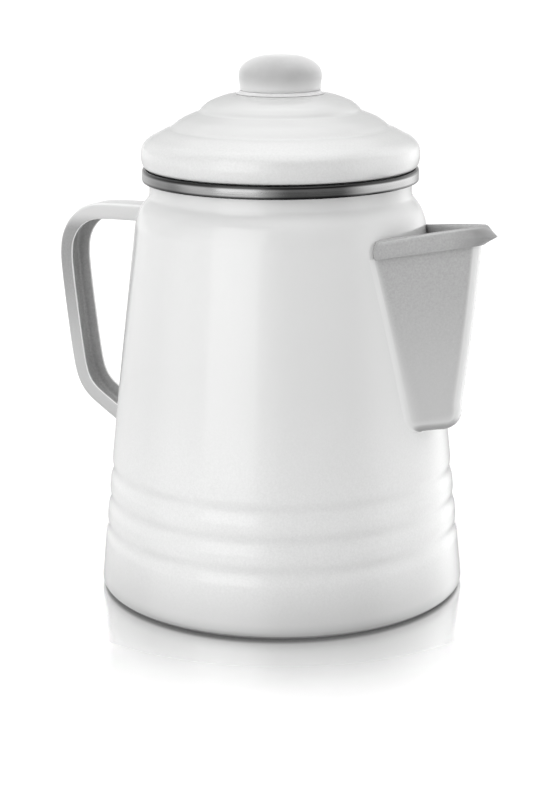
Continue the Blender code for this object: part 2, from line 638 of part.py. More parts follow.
def main():
    for item in list(bpy.data.objects):
        bpy.data.objects.remove(item, do_unlink=True)
    material("cutter", (0.8, 0.3, 0.1), 0.5)
    pot = body_empty("pot", 0.0)
    stem = body_empty("stem", STEM_BOTTOM_Z, pot)
    washer = body_empty("washer", 4.5, stem)
    basket = body_empty("basket", BASKET_BOTTOM_Z, stem)
    cover = body_empty("cover", BASKET_TOP_Z, basket)
    lid = body_empty("lid", 172.0, cover)
    knob = body_empty("knob", KNOB_BASE_Z, lid)

    build_pot_body(pot, material("pot_enamel", (0.83, 0.83, 0.82), 0.18))
    build_rim_ring(pot, material("ring_steel", (0.62, 0.62, 0.62), 0.2, 1.0))
    build_spout(pot, material("spout_enamel", (0.83, 0.83, 0.82), 0.2))
    build_handle(pot, material("handle_enamel", (0.82, 0.82, 0.81), 0.2))
    build_lid_shell(lid, material("lid_enamel", (0.84, 0.84, 0.83), 0.18))
    build_lid_skirt(lid, material("skirt_enamel", (0.80, 0.80, 0.79), 0.25))
    build_knob_gasket(lid, material("gasket_silicone", (0.55, 0.55, 0.54), 0.5))
    build_knob_lock_ring(lid, material("lock_ring_steel", (0.6, 0.6, 0.6), 0.3, 1.0))
    build_lid_knob(knob, material("knob_frosted", (0.86, 0.87, 0.88), 0.3, 0.0, 0.5))
    build_stem_tube(stem, material("tube_aluminium", (0.72, 0.72, 0.73), 0.3, 1.0))
    build_stem_foot(stem, material("foot_aluminium", (0.70, 0.70, 0.71), 0.35, 1.0))
    build_valve_seat(stem, material("seat_aluminium", (0.68, 0.68, 0.69), 0.4, 1.0))
    build_stem_collar(stem, material("collar_aluminium", (0.66, 0.66, 0.67), 0.35, 1.0))
    build_pump_washer(washer, material("washer_steel", (0.58, 0.58, 0.58), 0.3, 1.0))
    build_basket_cup(basket, material("basket_aluminium", (0.74, 0.74, 0.75), 0.35, 1.0))
    build_basket_sleeve(basket, material("sleeve_aluminium", (0.70, 0.70, 0.71), 0.35, 1.0))
    build_basket_cover(cover, material("cover_aluminium", (0.73, 0.73, 0.74), 0.35, 1.0))


main()
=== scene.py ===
"""Looks of the enamelled coffee percolator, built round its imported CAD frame.

Lengths are in millimetres, scaled to metres by MM. +X points to the spout, the handle is at -X.
"""

import math

import bpy
from mathutils import Matrix, Vector


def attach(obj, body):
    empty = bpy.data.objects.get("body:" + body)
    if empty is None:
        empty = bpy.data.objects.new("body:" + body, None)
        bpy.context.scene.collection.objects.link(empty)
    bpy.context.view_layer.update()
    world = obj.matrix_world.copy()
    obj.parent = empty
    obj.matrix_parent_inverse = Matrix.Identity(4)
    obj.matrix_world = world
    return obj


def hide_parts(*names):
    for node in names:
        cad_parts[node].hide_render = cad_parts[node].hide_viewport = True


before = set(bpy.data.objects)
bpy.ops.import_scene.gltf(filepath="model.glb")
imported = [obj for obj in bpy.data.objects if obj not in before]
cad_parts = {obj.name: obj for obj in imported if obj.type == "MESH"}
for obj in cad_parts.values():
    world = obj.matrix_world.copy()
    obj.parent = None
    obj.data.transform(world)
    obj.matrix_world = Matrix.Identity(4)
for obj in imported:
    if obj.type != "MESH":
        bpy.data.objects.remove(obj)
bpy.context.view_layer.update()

MM = 0.001
ROUND = 192           # sides of the large turned pieces
BASKET_ROUND = 128
SMALL_ROUND = 96
SHARP_ANGLE = 35.0    # edges that turn by more than this stay crisp
SHEET_SHARP_ANGLE = 40.0
TINY_CORNER = 0.35

# Sizes of the pot
BASE_R = 75.0
SHOULDER_R = 59.1
NECK_R = 52.4
BASE_FILLET = 3.0
SHOULDER_Z = 143.5
NECK_Z = 163.5
POT_TOP_Z = 170.9
SHEET = 1.2
WALL_BULGE = 0.5
GROOVE_HEIGHTS = (25.0, 37.0, 49.0)
GROOVE_HALF_WIDTH = 4.5
GROOVE_DEPTH = 0.75
STRAINER_LOW_Z = 90.0    # lowest row of the holes behind the spout
STRAINER_ROWS = 6
STRAINER_PITCH = 8.0
STRAINER_HOLE_R = 2.0

# Sizes of the neck ring
RING_OUTER_R = 55.2
RING_INNER_R = 50.1
RING_BOTTOM_Z = 166.9
RING_MIDDLE_Z = 169.3
RING_TOP_Z = 172.0
RING_SHEET = 0.8

# Sizes of the spout
SPOUT_SHEET = 1.0
SPOUT_BOTTOM_Z = 73.2
SPOUT_BEND_Z = 85.0
SPOUT_ROOT_BEND_Z = 79.0
SPOUT_ROOT_BOTTOM_HALF = 13.7
SPOUT_ROOT_SPREAD = 0.139
SPOUT_NOSE_BEND_X = 80.5
SPOUT_FLANGE = 3.6
BAND_END = (1.0, 0.6)    # flange and soft bend of the band along the wall
SPOUT_FILLET = (2.0, 6.5)
SPOUT_NOSE_RADIUS = 5.6
SPOUT_ROOT_PROUD = 3.4
BAND_ROOT_Z = (143.1, 149.7)
BAND_NOSE_Z = (148.2, 155.2)
BAND_PROUD = 1.7
BEAK_TIP = (94.2, 151.4)
BEAK_CREST_X = 89.6
BEAK_LENGTH = 7.5
WELD_SINK = 0.88
FEATHER = (0.2, 0.13, 0.075, 0.035, 0.01)    # how far the weld's edge sinks in to the wall
FLANGE_STEPS = 5
BEND_STEPS = 7
SIDE_STEPS = 8
NOSE_STEPS = 10
CHANNEL_ROWS = 16
SPOUT_SIDE_WAY = (0.514, 0.857)    # the way its sides face, in X and Y

# Sizes of the handle
HANDLE_WIDTH = 14.0
HANDLE_SHEET = 1.2
HANDLE_DEPTH = 6.7
HANDLE_CORNER = 2.4
HANDLE_BACK_POINTS = 16    # points of its section round the outside

# Painted shade on the pot's enamel, greyer above and darker towards the foot: heights in metres where
# each shade starts and is full, and its share of white
POT_PAINTED_SHADES = ((0.045, 0.10, 0.855), (0.026, 0.0, 0.74), (0.0065, 0.0012, 0.60))

# Sizes of the lid and knob
LID_SHEET = 1.1
LID_TOP_Z = 201.1
LID_HOLE_R = 13.3
SKIRT_R = 49.6
SKIRT_SHEET = 0.8
SKIRT_BOTTOM_Z = 160.0
KNOB_TOP_Z = 216.0
KNOB_BASE_Z = 202.4
KNOB_NECK_R = 12.6
KNOB_NECK_BORE_R = 10.2
KNOB_BOTTOM_Z = 193.4
LUG_TOP_Z = 196.0
LUG_R = 15.0

# Sizes of the pump and basket
STEM_R = 4.8
STEM_BORE_R = 4.0
STEM_BOTTOM_Z = 13.0
STEM_TOP_Z = 198.0
THIN_SHEET = 0.8
COLLAR_TOP_Z = 95.4
BASKET_BOTTOM_Z = 96.5
BASKET_TOP_Z = 149.6
BASKET_BOTTOM_R = 33.0
BASKET_RIM_R = 39.0
SLEEVE_R = 6.0
BASKET_HOLE_R = 0.8

# The knob's lugs and the notches that they drop through
LUG_HALF_ANGLE = 11.25
LUG_STEPS = 8
NOTCH_INNER_R = 10.4
NOTCH_OUTER_R = 15.4
NOTCH_HALF_WIDTH = 3.5

# The studio. Azimuth 0 is at -Y, growing towards +X.
VIEW_AZIMUTH = 29.5
CAMERA_DISTANCE = 0.7519
CAMERA_HEIGHT = 0.2746
CAMERA_TURN = 0.1824
CAMERA_TILT = 14.82
CAMERA_ROLL = -0.249
FLOOR_SIZE = 9000.0
FLOOR_POLISH = 0.85
FLOOR_POLISH_FADE = (0.078, 0.175)    # metres from the axis where it starts to fade and is gone
# Light from above and from behind: cosines of the angle to it, and the share of its strength there
ZENITH = ((-0.2, 0.07), (-0.05, 0.2), (0.03, 0.22), (0.12, 0.07), (0.5, 0.09), (0.75, 0.42),
          (1.0, 1.0))
ZENITH_STRENGTH = 2.15
BACKDROP = ((0.05, 0.0), (0.38, 0.75), (0.8, 1.0))
BACKDROP_STRENGTH = 0.45
# Soft level glows: azimuth, the cosines where they start and are full, strength
GLOWS = ((-20.0, 0.55, 0.97, 1.15), (-92.0, 0.6, 0.97, 0.3), (135.0, 0.55, 0.95, 1.6))
SHEEN_SPACING = 60
SHEEN_SIZE = (2.85, 1.6)


# Node helpers

def grey(value):
    return (value, value, value)


def dimmed(tint, share):
    return tuple(value * share for value in tint)


class Nodes:
    """Short ways to add nodes to a shader tree and to join them."""

    def __init__(self, tree):
        self.tree = tree

    def node(self, kind, **settings):
        made = self.tree.nodes.new(kind)
        for key, value in settings.items():
            setattr(made, key, value)
        return made

    def link(self, output, target):
        self.tree.links.new(output, target)

    def ranged(self, value, low, high, from_low=0.3, from_high=0.7, change="LINEAR"):
        """A value squeezed into low..high."""
        made = self.node("ShaderNodeMapRange", interpolation_type=change)
        numbers = (from_low, from_high, low, high)
        for socket, number in zip(("From Min", "From Max", "To Min", "To Max"), numbers):
            made.inputs[socket].default_value = number
        self.link(value, made.inputs["Value"])
        return made.outputs["Result"]

    def maths(self, operation, *values):
        """A sum on outputs and plain numbers."""
        made = self.node("ShaderNodeMath", operation=operation)
        for socket, value in zip(made.inputs, values):
            if isinstance(value, float):
                socket.default_value = value
            else:
                self.link(value, socket)
        return made.outputs["Value"]


class Look(Nodes):
    """A procedural Principled material, built step by step."""

    def __init__(self, name, **values):
        self.material = bpy.data.materials.new(name)
        self.material.use_nodes = True
        super().__init__(self.material.node_tree)
        self.shader = self.tree.nodes["Principled BSDF"]
        self.place = self.node("ShaderNodeTexCoord").outputs["Object"]
        for socket, value in values.items():
            self.shader.inputs[socket.replace("_", " ")].default_value = value

    def noise(self, scale, detail=3.0, roughness=0.55, stretch=(1.0, 1.0, 1.0), offset=(0.0, 0.0, 0.0)):
        """Noise in object space, metres; stretch scales each axis first."""
        texture = self.node("ShaderNodeTexNoise")
        texture.inputs["Scale"].default_value = scale
        texture.inputs["Detail"].default_value = detail
        texture.inputs["Roughness"].default_value = roughness
        mapping = self.node("ShaderNodeMapping")
        mapping.inputs["Scale"].default_value = stretch
        mapping.inputs["Location"].default_value = offset
        self.link(self.place, mapping.inputs["Vector"])
        self.link(mapping.outputs["Vector"], texture.inputs["Vector"])
        return texture.outputs["Fac"]

    def parts(self, vector):
        """The X, Y and Z outputs of a vector."""
        split = self.node("ShaderNodeSeparateXYZ")
        self.link(vector, split.inputs["Vector"])
        return split.outputs

    def facing(self):
        """X, Y and Z of the way the surface faces, on the object's own axes."""
        return self.parts(self.node("ShaderNodeTexCoord").outputs["Normal"])

    def height_share(self, none_at, full_at):
        """0 at one height and 1 at the other, in metres, with a smooth change between."""
        return self.ranged(self.parts(self.place)["Z"], 0.0, 1.0, none_at, full_at, "SMOOTHSTEP")

    def colour(self, factor, first, second):
        """Makes the base colour two colours mixed by a value."""
        made = self.node("ShaderNodeMix", data_type="RGBA")
        made.inputs["A"].default_value = (*first, 1.0)
        made.inputs["B"].default_value = (*second, 1.0)
        self.link(factor, made.inputs["Factor"])
        self.link(made.outputs["Result"], self.shader.inputs["Base Color"])

    def tint(self, factor, tint, most=1.0):
        """Blends the base colour so far towards a plain colour by a value, up to the most share."""
        base = self.shader.inputs["Base Color"]
        made = self.node("ShaderNodeMix", data_type="RGBA")
        made.inputs["B"].default_value = (*tint, 1.0)
        self.link(base.links[0].from_socket, made.inputs["A"])
        self.link(self.maths("MULTIPLY", factor, most), made.inputs["Factor"])
        self.link(made.outputs["Result"], base)

    def bump(self, height, strength, distance):
        made = self.node("ShaderNodeBump")
        made.inputs["Strength"].default_value = strength
        made.inputs["Distance"].default_value = distance
        self.link(height, made.inputs["Height"])
        previous = self.shader.inputs["Normal"].links
        if previous:
            self.link(previous[0].from_socket, made.inputs["Normal"])
        self.link(made.outputs["Normal"], self.shader.inputs["Normal"])

    def roughness(self, output):
        self.link(output, self.shader.inputs["Roughness"])

    def round_the_axis(self):
        """Coordinates that run round the Z axis, out from it and up it, for turned metal."""
        parts = self.parts(self.place)
        length = self.node("ShaderNodeVectorMath", operation="LENGTH")
        flat = self.node("ShaderNodeVectorMath", operation="MULTIPLY")
        flat.inputs[1].default_value = (1.0, 1.0, 0.0)
        self.link(self.place, flat.inputs[0])
        self.link(flat.outputs["Vector"], length.inputs[0])
        joined = self.node("ShaderNodeCombineXYZ")
        self.link(self.maths("ARCTAN2", parts["Y"], parts["X"]), joined.inputs["X"])
        self.link(length.outputs["Value"], joined.inputs["Y"])
        self.link(parts["Z"], joined.inputs["Z"])
        self.place = joined.outputs["Vector"]


def enamel(name, tint=(0.69, 0.692, 0.69), grain=0.9, pot=False):
    """Glossy white vitreous enamel: faint mottling, fine grey specks, an orange-peel surface and a wet
    gloss. A pot gets painted shade: a little greyer above and darker towards its foot, with a
    near-black painted contact shadow along its lowest edge."""
    look = Look(name, Coat_Weight=0.5, Coat_Roughness=0.1, Coat_IOR=1.5, IOR=1.5)
    mottle = look.ranged(look.noise(26.0, 2.0), 0.0, 1.0, 0.2, 0.8)
    look.colour(mottle, dimmed(tint, 0.965), tint)
    speck = look.ranged(look.noise(1300.0, 2.0, 0.7), 0.0, 1.0, 0.25, 0.75)
    look.tint(speck, dimmed(tint, grain * grain), 0.6)
    if pot:
        # Painted shade: greyer above and darker towards the foot
        for none_at, full_at, share in POT_PAINTED_SHADES:
            look.tint(look.height_share(none_at, full_at), dimmed(tint, share), 0.9)
        # Painted contact shadow: near black along the lowest edge
        look.tint(look.height_share(0.0016, 0.0005), grey(0.025), 0.95)
    look.roughness(look.ranged(look.noise(18.0, 2.0, offset=(0.3, 0.1, 0.2)), 0.2, 0.27, 0.2, 0.8))
    look.bump(look.noise(34.0, 1.0, offset=(0.2, 0.5, 0.1)), 0.1, 0.0022)
    look.bump(look.noise(420.0, 2.0), 0.05, 0.0004)
    return look


def spout_enamel():
    """The channel's enamel, with painted light and shade: grey shade on its flat sides, a little lighter
    low down, as white as the wall by painted light where it turns away from them at the weld and the
    nose, and darkest underneath by painted shade."""
    # Painted shade: the flat sides are grey
    look = enamel("spout_enamel", grey(0.435), 0.8)
    # Painted light: a little lighter low down
    look.tint(look.height_share(0.146, 0.078), grey(0.505), 0.8)
    facing = look.facing()
    forward = look.maths("MULTIPLY", facing["X"], SPOUT_SIDE_WAY[0])
    across = look.maths("ABSOLUTE", facing["Y"])
    sideways = look.maths("MULTIPLY_ADD", across, SPOUT_SIDE_WAY[1], forward)
    turned_away = look.ranged(sideways, 1.0, 0.0, 0.93, 0.99)
    upright = look.ranged(facing["Z"], 0.0, 1.0, -0.55, -0.2)
    # Painted highlight: as white as the wall where the surface turns away from the flat sides
    look.tint(look.maths("MULTIPLY", turned_away, upright), (0.64, 0.642, 0.64))
    # Painted shade: darkest where the surface faces down
    look.tint(look.ranged(facing["Z"], 1.0, 0.0, -0.8, -0.3), grey(0.27))
    return look


def band_enamel():
    """The rolled band at the mouth, grey with painted shade and darkest at the beak."""
    look = enamel("spout_band_enamel", grey(0.41), 0.8)
    # Painted shade: darkest at the beak
    look.tint(look.ranged(look.parts(look.place)["X"], 0.0, 1.0, 0.079, 0.088), grey(0.27))
    return look


def handle_enamel():
    """The handle's outside, with painted light and shade: greyest on the flat sides of its grip, painted
    light paler low down and along its upper arm, and painted highlights pale along its edges and lip.
    """
    # Painted shade: the grip's flat sides are grey
    look = enamel("handle_enamel", grey(0.27), 0.82)
    # Painted light: paler towards the lower end and along the upper arm
    look.tint(look.height_share(0.132, 0.080), grey(0.42), 0.95)
    look.tint(look.height_share(0.1395, 0.1480), grey(0.53), 0.95)
    facing = look.facing()
    # Painted highlight: pale where the surface turns from the flat sides
    look.tint(look.ranged(look.maths("ABSOLUTE", facing["Y"]), 1.0, 0.0, 0.6, 0.97), grey(0.68))
    # Painted highlight: palest on the lip that faces the pot
    look.tint(look.ranged(facing["X"], 0.0, 1.0, 0.2, 0.55), grey(0.80))
    return look


def lid_enamel():
    """The lid's enamel, greyer than the pot's by painted shade, and a little greyer still over its upper
    steps by painted shade.
    """
    # Painted shade: greyer than the pot's white enamel
    look = enamel("lid_enamel", (0.63, 0.632, 0.63))
    # Painted shade over the upper steps
    look.tint(look.height_share(0.184, 0.191), (0.55, 0.552, 0.55), 0.9)
    return look


def polished_steel(name, tint=grey(0.60), rough=(0.12, 0.3), painted_shadow_above=None, painted_shade_below=None):
    """Steel polished round its axis, with hair-fine lines and soft smears. Given the two heights, in
    metres, it gets a near-black painted shadow above the upper one, for the shaded gap under the lid,
    and painted shade along its edge below the lower one."""
    look = Look(name, Metallic=1.0)
    flat = look.place
    look.round_the_axis()
    lines = look.noise(1.0, 2.0, stretch=(1.6, 5200.0, 5200.0))
    smears = look.noise(1.0, 3.0, stretch=(2.2, 260.0, 260.0), offset=(0.4, 0.0, 0.0))
    look.colour(look.ranged(smears, 0.0, 1.0), dimmed(tint, 0.8), tint)
    if painted_shadow_above:
        look.place = flat
        # Painted shadow above the upper height, painted shade below the lower one
        look.tint(look.height_share(painted_shadow_above - 0.0002, painted_shadow_above + 0.0005), grey(0.03), 0.95)
        look.tint(look.height_share(painted_shade_below + 0.0005, painted_shade_below - 0.0001), grey(0.04), 0.85)
    look.roughness(look.ranged(smears, *rough))
    look.bump(lines, 0.12, 0.0002)
    return look


def spun_aluminium(name, tint=(0.66, 0.66, 0.67)):
    """Satin aluminium, spun round its axis, faintly stained where water stands."""
    look = Look(name, Metallic=1.0)
    stain = look.ranged(look.noise(60.0, 4.0, offset=(0.1, 0.4, 0.2)), 0.0, 1.0, 0.42, 0.75)
    look.round_the_axis()
    lines = look.noise(1.0, 2.0, stretch=(1.2, 2600.0, 2600.0))
    look.colour(stain, tint, dimmed(tint, 0.82))
    look.roughness(look.ranged(lines, 0.24, 0.42))
    look.bump(lines, 0.2, 0.0002)
    return look


def frosted_knob():
    """Milky moulded plastic that lets some light through, with a soft sheen round its rim, painted grey
    shade over its upper part and paler painted light low down.
    """
    look = Look("knob_plastic", Transmission_Weight=0.25, IOR=1.35, Sheen_Weight=1.0,
                Sheen_Roughness=0.5)
    # Painted shade: grey, with a random tone
    look.colour(look.ranged(look.noise(90.0, 3.0), 0.0, 1.0), grey(0.44), grey(0.52))
    # Painted light: paler low down
    look.tint(look.height_share(0.2095, 0.2025), grey(0.80), 0.9)
    look.roughness(look.ranged(look.noise(160.0, 2.0), 0.42, 0.52))
    look.bump(look.noise(900.0, 2.0), 0.05, 0.0002)
    return look


def silicone():
    look = Look("gasket_rubber", Sheen_Weight=0.2)
    grain = look.ranged(look.noise(700.0, 3.0), 0.0, 1.0)
    look.colour(grain, grey(0.62), grey(0.68))
    look.roughness(look.ranged(grain, 0.5, 0.65))
    look.bump(look.noise(1500.0, 2.0), 0.1, 0.0002)
    return look


# Mesh helpers

def polar(radius, angle):
    """X and Y at a radius and an angle."""
    return (radius * math.cos(angle), radius * math.sin(angle))


def smooth_line(points, steps=5):
    """A smooth line through the points, with that many steps in each span."""
    line = [Vector(point) for point in points]
    ends = [line[0] * 2 - line[1]] + line + [line[-1] * 2 - line[-2]]
    made = []
    for index in range(1, len(ends) - 2):
        before, start, end, after = ends[index - 1:index + 3]
        for step in range(steps):
            t = step / steps
            made.append(0.5 * (2 * start + (end - before) * t
                               + (2 * before - 5 * start + 4 * end - after) * t * t
                               + (3 * start - before - 3 * end + after) * t ** 3))
    made.append(line[-1])
    return [tuple(point) for point in made]


def rounded_corners(points, radius, steps=4, closed=False):
    """The line with each inner corner turned into a small curve."""
    line = [Vector(point) for point in points]
    count = len(line)
    made = []
    for index in range(count):
        if not closed and index in (0, count - 1):
            made.append(tuple(line[index]))
            continue
        before, here, after = line[index - 1], line[index], line[(index + 1) % count]
        start = here + (before - here).normalized() * min(radius, (before - here).length * 0.45)
        end = here + (after - here).normalized() * min(radius, (after - here).length * 0.45)
        for step in range(steps + 1):
            t = step / steps
            made.append(tuple(start * (1 - t) ** 2 + here * 2 * t * (1 - t) + end * t * t))
    return made


def offset_line(points, distance):
    """The line moved sideways by distance, to its left, with mitred corners."""
    moved = []
    for index, point in enumerate(points):
        before = Vector(points[max(index - 1, 0)])
        after = Vector(points[min(index + 1, len(points) - 1)])
        here = Vector(point)
        first = (here - before).normalized() if index > 0 else (after - here).normalized()
        second = (after - here).normalized() if index < len(points) - 1 else first
        side = Vector((-first.y - second.y, first.x + second.x)).normalized()
        stretch = 1.0 / max(0.5, side.dot(Vector((-first.y, first.x))))
        moved.append(tuple(here + side * distance * stretch))
    return moved


def mesh_object(name, verts, faces, look, sharp=SHARP_ANGLE):
    """A named object in metres from points in millimetres, smooth where its faces meet softly."""
    mesh = bpy.data.meshes.new(name)
    mesh.from_pydata([Vector(vert) * MM for vert in verts], [], faces)
    mesh.validate()
    mesh.shade_smooth()
    mesh.set_sharp_from_angle(angle=math.radians(sharp))
    mesh.materials.append(look.material)
    made = bpy.data.objects.new(name, mesh)
    bpy.context.scene.collection.objects.link(made)
    return made


def lathe(name, profile, look, segments=ROUND, closed=True):
    """Turns (radius, height) points about Z. The points run anticlockwise round the section, or from
    the axis at the bottom round to the axis at the top."""
    verts = []
    rings = []
    for radius, height in profile:
        if radius < 0.001:
            rings.append([len(verts)])
            verts.append((0.0, 0.0, height))
            continue
        rings.append(list(range(len(verts), len(verts) + segments)))
        for index in range(segments):
            verts.append((*polar(radius, math.tau * index / segments), height))
    faces = []
    pairs = list(zip(rings, rings[1:]))
    if closed:
        pairs.append((rings[-1], rings[0]))
    for low, high in pairs:
        for index in range(segments):
            after = (index + 1) % segments
            if len(low) == 1:
                faces.append((low[0], high[after], high[index]))
            elif len(high) == 1:
                faces.append((low[index], low[after], high[0]))
            else:
                faces.append((low[index], low[after], high[after], high[index]))
    return mesh_object(name, verts, faces, look)


def turned(name, corners, radius, steps, look, segments=SMALL_ROUND):
    """A ring turned from the corners of its section, each made round."""
    return lathe(name, rounded_corners(corners, radius, steps, closed=True), look, segments)


def rod_mesh(name, rods, sides):
    """One mesh of closed rods, for drilling: each is (start, end, radius)."""
    verts = []
    faces = []
    for start, end, radius in rods:
        start = Vector(start)
        end = Vector(end)
        turn = (end - start).to_track_quat("Z", "Y").to_matrix()
        first = len(verts)
        for centre in (start, end):
            for index in range(sides):
                verts.append(centre + turn @ Vector((*polar(radius, math.tau * index / sides), 0.0)))
        faces.append(tuple(first + index for index in reversed(range(sides))))
        faces.append(tuple(first + sides + index for index in range(sides)))
        for index in range(sides):
            after = (index + 1) % sides
            faces.append((first + index, first + after, first + sides + after, first + sides + index))
    mesh = bpy.data.meshes.new(name)
    mesh.from_pydata([vert * MM for vert in verts], [], faces)
    return mesh


def combine(target, tools, operation):
    """Joins the closed tools to the target, or cuts them out of it, for good, and drops them."""
    for tool in tools:
        change = target.modifiers.new("tool", "BOOLEAN")
        change.operation = operation
        change.solver = "EXACT"
        change.object = tool
    graph = bpy.context.evaluated_depsgraph_get()
    done = bpy.data.meshes.new_from_object(target.evaluated_get(graph))
    target.modifiers.clear()
    target.data = done
    done.shade_smooth()
    done.set_sharp_from_angle(angle=math.radians(SHARP_ANGLE))
    for tool in tools:
        bpy.data.objects.remove(tool, do_unlink=True)


def cut_away(target, mesh):
    """Cuts the closed mesh out of the target."""
    tool = bpy.data.objects.new("drill", mesh)
    bpy.context.scene.collection.objects.link(tool)
    combine(target, [tool], "DIFFERENCE")


def drilled(target, rods, sides=12):
    """Cuts the rods out of the target."""
    cut_away(target, rod_mesh("drill", rods, sides))


def place(piece, body, slot, *nodes):
    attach(piece, body)
    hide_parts(*nodes)


# The pot

def wall_radius(height):
    """Outside radius of the pot's plain wall at a height."""
    if height > SHOULDER_Z:
        line = shoulder_line()
        for (low_r, low_z), (high_r, high_z) in zip(line, line[1:]):
            if low_z <= height <= high_z:
                return low_r + (high_r - low_r) * (height - low_z) / (high_z - low_z)
        return NECK_R
    along = (height - BASE_FILLET) / (SHOULDER_Z - BASE_FILLET)
    return BASE_R + (SHOULDER_R - BASE_R) * along + WALL_BULGE * math.sin(math.pi * along)


def shoulder_line():
    """Smooth line over the shoulder and in to the neck."""
    return smooth_line([(SHOULDER_R, SHOULDER_Z), (58.8, 146.0), (58.3, 150.0), (57.3, 153.3),
                        (55.8, 156.5), (53.4, 159.7), (52.6, 161.3), (NECK_R, NECK_Z)])


def grooved_radius(height):
    """Outside radius with the three rolled grooves."""
    radius = wall_radius(height)
    for centre in GROOVE_HEIGHTS:
        away = abs(height - centre) / GROOVE_HALF_WIDTH
        if away < 1.0:
            radius -= GROOVE_DEPTH * (0.5 + 0.5 * math.cos(math.pi * away))
    return radius


def build_pot(look):
    fillet = [(BASE_R - BASE_FILLET * (1 - math.sin(angle)), BASE_FILLET * (1 - math.cos(angle)))
              for angle in [math.pi / 2 * step / 8 for step in range(9)]]
    heights = [BASE_FILLET + 1.0 + 0.75 * step for step in range(70)]
    heights += [60.0 + 6.0 * step for step in range(14)]
    outer = fillet + [(grooved_radius(height), height) for height in heights] + shoulder_line()
    inner = offset_line(outer, SHEET)
    bead = rounded_corners([(NECK_R, 167.0), (NECK_R, 168.1), (54.0, 168.3), (54.0, POT_TOP_Z),
                            (NECK_R - SHEET, POT_TOP_Z), (NECK_R - SHEET, 169.6)], 1.0)
    inner = [(max(0.0, radius), max(height, SHEET)) for radius, height in inner]
    profile = [(0.0, 0.0), (40.0, 0.0)] + outer + bead + inner[::-1] + [(40.0, SHEET), (0.0, SHEET)]
    pot = lathe("pot_shell", profile, look, closed=False)
    rods = []
    for row in range(STRAINER_ROWS):
        height = STRAINER_LOW_Z + STRAINER_PITCH * row
        count = 2 + row % 2 + row // 3
        for index in range(count):
            across = (index - (count - 1) / 2) * STRAINER_PITCH
            rods.append(((50.0, across, height), (BASE_R + 2.0, across, height), STRAINER_HOLE_R))
    drilled(pot, rods, 16)
    place(pot, "pot", "enamel", "pot_body")


def build_ring(look):
    """Folded steel ring over the pot's rolled edge."""
    hem = NECK_R + 0.6
    low = RING_BOTTOM_Z - 1.3
    roof = RING_TOP_Z - RING_SHEET
    shell_r = RING_OUTER_R - RING_SHEET
    bore_r = RING_INNER_R + RING_SHEET
    top_left = (RING_INNER_R, RING_TOP_Z)
    outside = [(hem, RING_BOTTOM_Z)]
    outside += rounded_corners([(hem + 0.8, RING_BOTTOM_Z), (RING_OUTER_R, RING_BOTTOM_Z),
                                (RING_OUTER_R, RING_MIDDLE_Z)], 0.9, 6)[1:]
    outside += rounded_corners([(RING_OUTER_R, RING_MIDDLE_Z), (RING_OUTER_R, RING_TOP_Z), top_left],
                               1.4, 8)[1:-1]
    outside += rounded_corners([(RING_INNER_R + 2.4, RING_TOP_Z), top_left, (RING_INNER_R, low)], 0.7, 5)
    inside = rounded_corners([(bore_r, low), (bore_r, roof), (shell_r, roof),
                              (shell_r, RING_BOTTOM_Z + RING_SHEET),
                              (hem, RING_BOTTOM_Z + RING_SHEET)], 0.7, 4)
    ring = lathe("neck_ring", outside + inside, look)
    place(ring, "pot", "bright_steel", "rim_ring")


# The spout

def closing_share(height, bend_height):
    """How much of the channel is left at a height: 1 above the bend, 0 at the rounded bottom."""
    if height >= bend_height:
        return 1.0
    above = max(0.0, (height - SPOUT_BOTTOM_Z) / (bend_height - SPOUT_BOTTOM_Z))
    return (1.0 - (1.0 - above) ** 2.3) ** 0.435


def spout_root_half_width(height):
    straight = SPOUT_ROOT_BOTTOM_HALF + max(0.0, height - SPOUT_BOTTOM_Z) * SPOUT_ROOT_SPREAD
    return straight * (0.5 + 0.5 * closing_share(height, SPOUT_ROOT_BEND_Z) ** 1.6)


def spout_nose_x(height):
    if height >= SPOUT_BEND_Z:
        above = height - SPOUT_BEND_Z
        return SPOUT_NOSE_BEND_X + 0.142 * above - 0.00055 * above * above
    reach = SPOUT_NOSE_BEND_X - wall_radius(SPOUT_BEND_Z)
    share = closing_share(height, SPOUT_BEND_Z)
    return wall_radius(height) + SPOUT_ROOT_PROUD + (reach - SPOUT_ROOT_PROUD) * share


def spout_half_section(height, trim=0.0, weld=(SPOUT_FLANGE, SPOUT_FILLET[0])):
    """Outer line of the sheet at one height, from the weld edge to the nose."""
    radius = wall_radius(height) + SPOUT_SHEET - WELD_SINK
    half = spout_root_half_width(height) - trim
    root_angle = math.asin(half / radius)
    nose = spout_nose_x(height)
    root = Vector((radius * math.cos(root_angle), half))
    bend = min(SPOUT_NOSE_RADIUS, 0.45 * (nose - root.x), 0.6 * half)
    centre = Vector((nose - bend, 0.0))
    to_root = root - centre
    tangent = math.atan2(to_root.y, to_root.x) - math.acos(bend / to_root.length)
    touch = centre + Vector(polar(bend, tangent))
    side = touch - root
    points = []
    for step in range(FLANGE_STEPS):
        span = weld[0] - (weld[0] - weld[1]) * step / FLANGE_STEPS
        points.append(Vector(polar(radius - FEATHER[step], root_angle + span / radius)))
    start = Vector(polar(radius, root_angle + weld[1] / radius))
    end = root + side.normalized() * min(SPOUT_FILLET[1], 0.4 * side.length)
    for step in range(BEND_STEPS):
        t = step / BEND_STEPS
        points.append(start * (1 - t) ** 2 + root * 2 * t * (1 - t) + end * t * t)
    points += [end.lerp(touch, step / SIDE_STEPS) for step in range(SIDE_STEPS)]
    for step in range(NOSE_STEPS + 1):
        points.append(centre + Vector(polar(bend, tangent * (1.0 - step / NOSE_STEPS))))
    return points


def mirrored(half):
    return half + [(x, -y, z) for x, y, z in half[-2::-1]]


